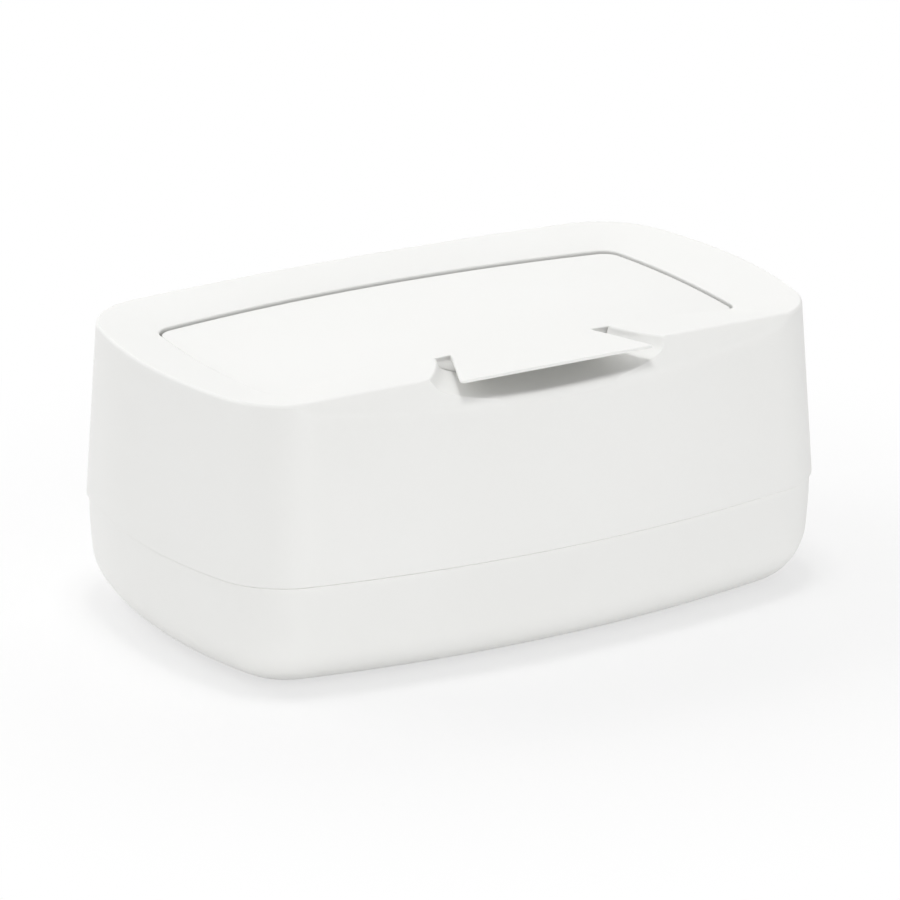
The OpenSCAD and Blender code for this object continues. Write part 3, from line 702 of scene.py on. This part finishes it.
on_tongue = np.concatenate([np.zeros(len(lid_plain)), np.ones(len(neck_x))])[:, None]
edge_line = np.concatenate([lid_line(lid_plain), tongue_edge])
along = np.roll(edge_line, -1, axis=0) - np.roll(edge_line, 1, axis=0)
outward = np.column_stack([along[:, 1], -along[:, 0]]) / np.linalg.norm(along, axis=1)[:, None]


# %% The lid's skin
LID_EDGE, TONGUE_EDGE, TONGUE_UNDER, STRIP_ROWS = 0.4, 0.55, 0.3, 10
PLATE_SHARES = [*np.linspace(0.05, 0.9, 20), 0.94, 0.965, 0.98]      # rings from the middle to the strip
UNDER_STEP, SKIRT_EDGE = 0.3, 0.4


def thick(y):
    """The plate's thickness, which falls along the tongue."""
    return mix(TONGUE_T, TONGUE_TIP_T, out_share(y))


def under_top(flat, down):
    """Points at a distance under the lid's upper side."""
    return solid(flat, lid_top(flat[:, 0], flat[:, 1]) - down)


def make_lid():
    neck = lid_line(lid_p)
    hub = np.array([0, LID_Y])
    rings = [under_top(np.tile(hub, (len(neck), 1)), 0)]
    rings += [under_top(mix(hub, neck, t), 0) for t in PLATE_SHARES]
    # the strip along the edge, and over the tongue
    round_by = mix(LID_EDGE, TONGUE_EDGE, on_tongue)
    rim = edge_line - outward * round_by
    near = mix(hub, neck, PLATE_SHARES[-1])
    rings += [under_top(mix(near, rim, t), 0) for t in np.linspace(0, 1, STRIP_ROWS + 1)[1:]]
    # round the edge
    for a in np.linspace(0, math.pi / 2, 6)[1:]:
        flat = edge_line - outward * round_by * (1 - math.sin(a))
        rings.append(under_top(flat, round_by[:, 0] * (1 - math.cos(a))))
    edge_t = thick(edge_line[:, 1])
    rings.append(under_top(edge_line, edge_t - TONGUE_UNDER))
    for a in np.linspace(0, math.pi / 2, 4)[1:]:
        flat = edge_line - outward * on_tongue * TONGUE_UNDER * (1 - math.cos(a))
        rings.append(under_top(flat, edge_t - TONGUE_UNDER * (1 - math.sin(a))))
    # back under the tongue, down and up the skirt, and to the middle of the underside
    under_edge = edge_line - outward * on_tongue * TONGUE_UNDER
    for t in (0.25, 0.5, 0.75, 1):
        flat = mix(under_edge, neck, t)
        rings.append(under_top(flat, thick(flat[:, 1]) + UNDER_STEP * t * (1 - on_tongue[:, 0])))
    inner = lid_line(lid_p, SKIRT_T)
    skirt = [under_top(neck, TONGUE_T + 2 * UNDER_STEP), solid(neck, SKIRT_Z), solid(inner, SKIRT_Z),
             under_top(inner, LID_T)]
    rings += rounded_path(skirt, [0, SKIRT_EDGE, SKIRT_EDGE, 0], [0, 3, 3, 0])
    rings += [under_top(mix(hub, inner, t), LID_T) for t in np.linspace(0.95, 0, 14)]
    return grow("lid_plate", rings)


def ring_block(name, inner, outer, low, high, down=None):
    """A ring around the opening. With down, its top follows the lid's upper side at that distance."""
    a, b = opening_line(inner), opening_line(outer)
    tops = [solid(line, high) if down is None else under_top(line, down) for line in (b, a)]
    return grow(name, [solid(a, low), solid(b, low), *tops, solid(a, low)])


lid = make_lid()
land = ring_block("seal_land", SEAL_IN - SEAL_LAND, SEAL_OUT + SEAL_LAND, SKIRT_Z, 0, LID_T / 2)
join_or_cut(lid, land, "UNION")
for side in (-1, 1):
    boss = bar(side * (lid_end - PIN_IN_LID), side * (lid_end - SKIRT_T / 2), PIN_R + LID_BOSS_T)
    join_or_cut(lid, boss, "UNION")
groove = ring_block("seal_groove", SEAL_IN, SEAL_OUT, SKIRT_Z - PAST, SKIRT_Z + SEAL_GROOVE)
join_or_cut(lid, groove, "DIFFERENCE")
for side in (-1, 1):
    bore = bar(side * (lid_end - PIN_IN_LID - PAST), side * (lid_end + 2 * PAST), PIN_R)
    join_or_cut(lid, bore, "DIFFERENCE")
finish_skin(lid)
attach(lid, "lid")
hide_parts("lid")

# %% [markdown]
# ## Finishes
#
# All the white pieces are moulded in one satin plastic. Its look comes from a fine moulded grain that breaks
# up the gloss, and from slow changes in that gloss. The grain is a node group, because the soft pieces use it
# too, with other values.

# %% The moulded grain, a shared node group
GLOSS_SCALE = 22


def make_grain():
    group = bpy.data.node_groups.new("moulded_grain", "ShaderNodeTree")
    for name, kind, value in (("Scale", "NodeSocketFloat", 1800.0), ("Gloss", "NodeSocketFloat", 0.42),
                              ("Spread", "NodeSocketFloat", 0.06)):
        group.interface.new_socket(name, in_out="INPUT", socket_type=kind).default_value = value
    for name in ("Roughness", "Height"):
        group.interface.new_socket(name, in_out="OUTPUT", socket_type="NodeSocketFloat")
    nodes, links = group.nodes, group.links
    given, result = nodes.new("NodeGroupInput"), nodes.new("NodeGroupOutput")
    place = nodes.new("ShaderNodeTexCoord")
    fine, slow = nodes.new("ShaderNodeTexNoise"), nodes.new("ShaderNodeTexNoise")
    fine.inputs["Detail"].default_value = 3
    slow.inputs["Scale"].default_value, slow.inputs["Detail"].default_value = GLOSS_SCALE, 2
    links.new(place.outputs["Object"], fine.inputs["Vector"])
    links.new(place.outputs["Object"], slow.inputs["Vector"])
    links.new(given.outputs["Scale"], fine.inputs["Scale"])
    centred = nodes.new("ShaderNodeMath")
    centred.operation, centred.inputs[1].default_value = "SUBTRACT", 0.5
    links.new(slow.outputs["Fac"], centred.inputs[0])
    change = nodes.new("ShaderNodeMath")
    change.operation = "MULTIPLY_ADD"
    links.new(centred.outputs[0], change.inputs[0])
    links.new(given.outputs["Spread"], change.inputs[1])
    links.new(given.outputs["Gloss"], change.inputs[2])
    links.new(change.outputs[0], result.inputs["Roughness"])
    links.new(fine.outputs["Fac"], result.inputs["Height"])
    return group


grain = make_grain()

# %% Finishes, and which piece wears which
PATCH_SCALE, RAMP_STOPS, GRAIN_DEPTH = 14, (0.35, 0.65), 0.0001


def moulded(name, tone, shade, gloss, spread, scale, depth, metal=0.0):
    """A moulded finish: a slow change between two tones, and the grain in its gloss and its bump."""
    material = bpy.data.materials.new(name)
    material.use_nodes = True
    nodes, links = material.node_tree.nodes, material.node_tree.links
    shader = nodes["Principled BSDF"]
    shader.inputs["Metallic"].default_value = metal
    place, patch = nodes.new("ShaderNodeTexCoord"), nodes.new("ShaderNodeTexNoise")
    ramp = nodes.new("ShaderNodeValToRGB")
    patch.inputs["Scale"].default_value, patch.inputs["Detail"].default_value = PATCH_SCALE, 2
    links.new(place.outputs["Object"], patch.inputs["Vector"])
    links.new(patch.outputs["Fac"], ramp.inputs["Fac"])
    for stop, position, colour in zip(ramp.color_ramp.elements, RAMP_STOPS, (tone, shade)):
        stop.position, stop.color = position, (*colour, 1)
    links.new(ramp.outputs["Color"], shader.inputs["Base Color"])
    cell = nodes.new("ShaderNodeGroup")
    cell.node_tree = grain
    cell.inputs["Scale"].default_value, cell.inputs["Gloss"].default_value = scale, gloss
    cell.inputs["Spread"].default_value = spread
    bump = nodes.new("ShaderNodeBump")
    bump.inputs["Strength"].default_value, bump.inputs["Distance"].default_value = depth, GRAIN_DEPTH
    links.new(cell.outputs["Roughness"], shader.inputs["Roughness"])
    links.new(cell.outputs["Height"], bump.inputs["Height"])
    links.new(bump.outputs["Normal"], shader.inputs["Normal"])
    return material


def wear(piece, material):
    piece.data.materials.clear()
    piece.data.materials.append(material)


satin_white = moulded("satin_white", (0.86, 0.86, 0.842), (0.868, 0.868, 0.852), 0.5, 0.06, 1600, 0.12)
soft_white = moulded("soft_white", (0.70, 0.70, 0.69), (0.72, 0.72, 0.71), 0.6, 0.08, 900, 0.2)
foot_grey = moulded("foot_grey", (0.52, 0.52, 0.51), (0.55, 0.55, 0.54), 0.7, 0.08, 900, 0.3)
ground_steel = moulded("ground_steel", (0.60, 0.60, 0.60), (0.66, 0.66, 0.66), 0.32, 0.1, 2200, 0.2, 1.0)
for piece in (tray, cover, lid):
    wear(piece, satin_white)
wear(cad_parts["lid_seal"], soft_white)
for corner in ("front_left", "front_right", "rear_left", "rear_right"):
    wear(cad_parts["foot_" + corner], foot_grey)
for side in ("left", "right"):
    wear(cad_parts["hinge_pin_" + side], ground_steel)

# %% [markdown]
# ## Floor, light and camera
#
# The box stands on a white floor under wide soft lamps. To the camera, and in metal and glass, the world is
# plain white and the floor fades into it, so only the soft shadow under the box shows. The fade is a share of
# white that grows with the distance from the middle of the floor.

# %% Floor
FLOOR_SIZE, PAPER_TONE, PAPER_ROUGH = 6, 0.9, 0.9
PAPER_NEAR, PAPER_FAR, PAPER_GLOW = 0.12, 0.28, 0.62      # metres, metres, and the share of white up to near


def background_rays(nodes, links):
    """1 for the rays that see the background: the camera's own and those of metal and glass."""
    path = nodes.new("ShaderNodeLightPath")
    seen = path.outputs["Is Camera Ray"]
    for kind in ("Is Glossy Ray", "Is Transmission Ray"):
        either = nodes.new("ShaderNodeMath")
        either.operation = "MAXIMUM"
        links.new(seen, either.inputs[0])
        links.new(path.outputs[kind], either.inputs[1])
        seen = either.outputs[0]
    return seen


bpy.ops.object.select_all(action="DESELECT")
bpy.ops.mesh.primitive_plane_add(size=FLOOR_SIZE, location=(0, 0, 0))
floor = bpy.context.object
floor.name = "floor"
paper = bpy.data.materials.new("floor_paper")
paper.use_nodes = True
nodes, links = paper.node_tree.nodes, paper.node_tree.links
shader, out = nodes["Principled BSDF"], nodes["Material Output"]
shader.inputs["Base Color"].default_value = (PAPER_TONE, PAPER_TONE, PAPER_TONE, 1)
shader.inputs["Roughness"].default_value = PAPER_ROUGH
glow, share, seen = (nodes.new("ShaderNodeEmission"), nodes.new("ShaderNodeMixShader"),
                     nodes.new("ShaderNodeMath"))
place, far, fade = (nodes.new("ShaderNodeTexCoord"), nodes.new("ShaderNodeVectorMath"),
                    nodes.new("ShaderNodeMapRange"))
glow.inputs["Strength"].default_value = 1.0
far.operation = "LENGTH"
fade.interpolation_type = "SMOOTHSTEP"
fade.inputs["From Min"].default_value, fade.inputs["From Max"].default_value = PAPER_NEAR, PAPER_FAR
fade.inputs["To Min"].default_value, fade.inputs["To Max"].default_value = PAPER_GLOW, 1.0
seen.operation = "MULTIPLY"
links.new(place.outputs["Object"], far.inputs[0])
links.new(far.outputs["Value"], fade.inputs["Value"])
links.new(fade.outputs["Result"], seen.inputs[0])
links.new(background_rays(nodes, links), seen.inputs[1])
links.new(seen.outputs[0], share.inputs["Fac"])
links.new(shader.outputs[0], share.inputs[1])
links.new(glow.outputs[0], share.inputs[2])
links.new(share.outputs[0], out.inputs["Surface"])
wear(floor, paper)

# %% World and lamps
SOFT_LIGHT, PLAIN_WHITE = 0.32, 1.0
LAMPS = (("top_lamp", (-0.05, -0.08, 1.6), 0.35, 8.3),     # name, place and size in metres, power in watts
         ("rear_lamp", (0.0, 1.1, 1.2), 0.8, 2.3),
         ("rear_left_lamp", (-0.8, 0.8, 1.1), 0.8, 5.4),
         ("rear_right_lamp", (0.8, 0.8, 1.1), 0.8, 3.1),
         ("left_lamp", (-1.6, 0.0, 0.3), 0.8, 4.5),
         ("front_right_lamp", (1.0, -1.3, 0.25), 0.8, 4.1),
         ("low_lamp", (-0.2, -1.2, 0.08), 0.12, 3.2))
LAMP_AIM = Vector((0, 0, 0.05))
world = bpy.data.worlds.new("studio")
bpy.context.scene.world = world
world.use_nodes = True
nodes, links = world.node_tree.nodes, world.node_tree.links
nodes.clear()
soft, white, pick, out = (nodes.new("ShaderNodeBackground"), nodes.new("ShaderNodeBackground"),
                          nodes.new("ShaderNodeMixShader"), nodes.new("ShaderNodeOutputWorld"))
for shader, strength in ((soft, SOFT_LIGHT), (white, PLAIN_WHITE)):
    shader.inputs["Color"].default_value, shader.inputs["Strength"].default_value = (1, 1, 1, 1), strength
links.new(background_rays(nodes, links), pick.inputs["Fac"])
links.new(soft.outputs[0], pick.inputs[1])
links.new(white.outputs[0], pick.inputs[2])
links.new(pick.outputs[0], out.inputs["Surface"])

for name, place, size, power in LAMPS:
    light = bpy.data.lights.new(name, "AREA")
    light.shape, light.size, light.energy = "SQUARE", size, power
    holder = bpy.data.objects.new(name, light)
    bpy.context.scene.collection.objects.link(holder)
    holder.location = place
    holder.rotation_euler = (LAMP_AIM - Vector(place)).to_track_quat("-Z", "Y").to_euler()
print(len(LAMPS), "lamps of", round(sum(lamp[-1] for lamp in LAMPS), 1), "W in all")

# %% Camera
LENS, DISTANCE = 226.41, 1.9143                   # millimetres on a 36 mm sensor, and metres
BACK = Vector((-0.486297, -0.810744, 0.325898))   # from the box to the camera
RIGHT, ABOVE = Vector((0.857563, -0.514380, 0.0)), Vector((0.167635, 0.279478, 0.945405))
AIM = Vector((0, 0, 0.0458)) + RIGHT * -0.000334 + ABOVE * 0.003229
camera_data = bpy.data.cameras.new("camera")
camera = bpy.data.objects.new("camera", camera_data)
bpy.context.scene.collection.objects.link(camera)
bpy.context.scene.camera = camera
camera_data.sensor_width, camera_data.lens = 36, LENS
camera_data.clip_start, camera_data.clip_end = 0.1, 20
camera.location = AIM + BACK * DISTANCE
camera.rotation_euler = (-BACK).to_track_quat("-Z", "Y").to_euler()
bpy.context.scene.view_settings.view_transform = "Standard"
print("the camera stands at", [round(c, 3) for c in camera.location])
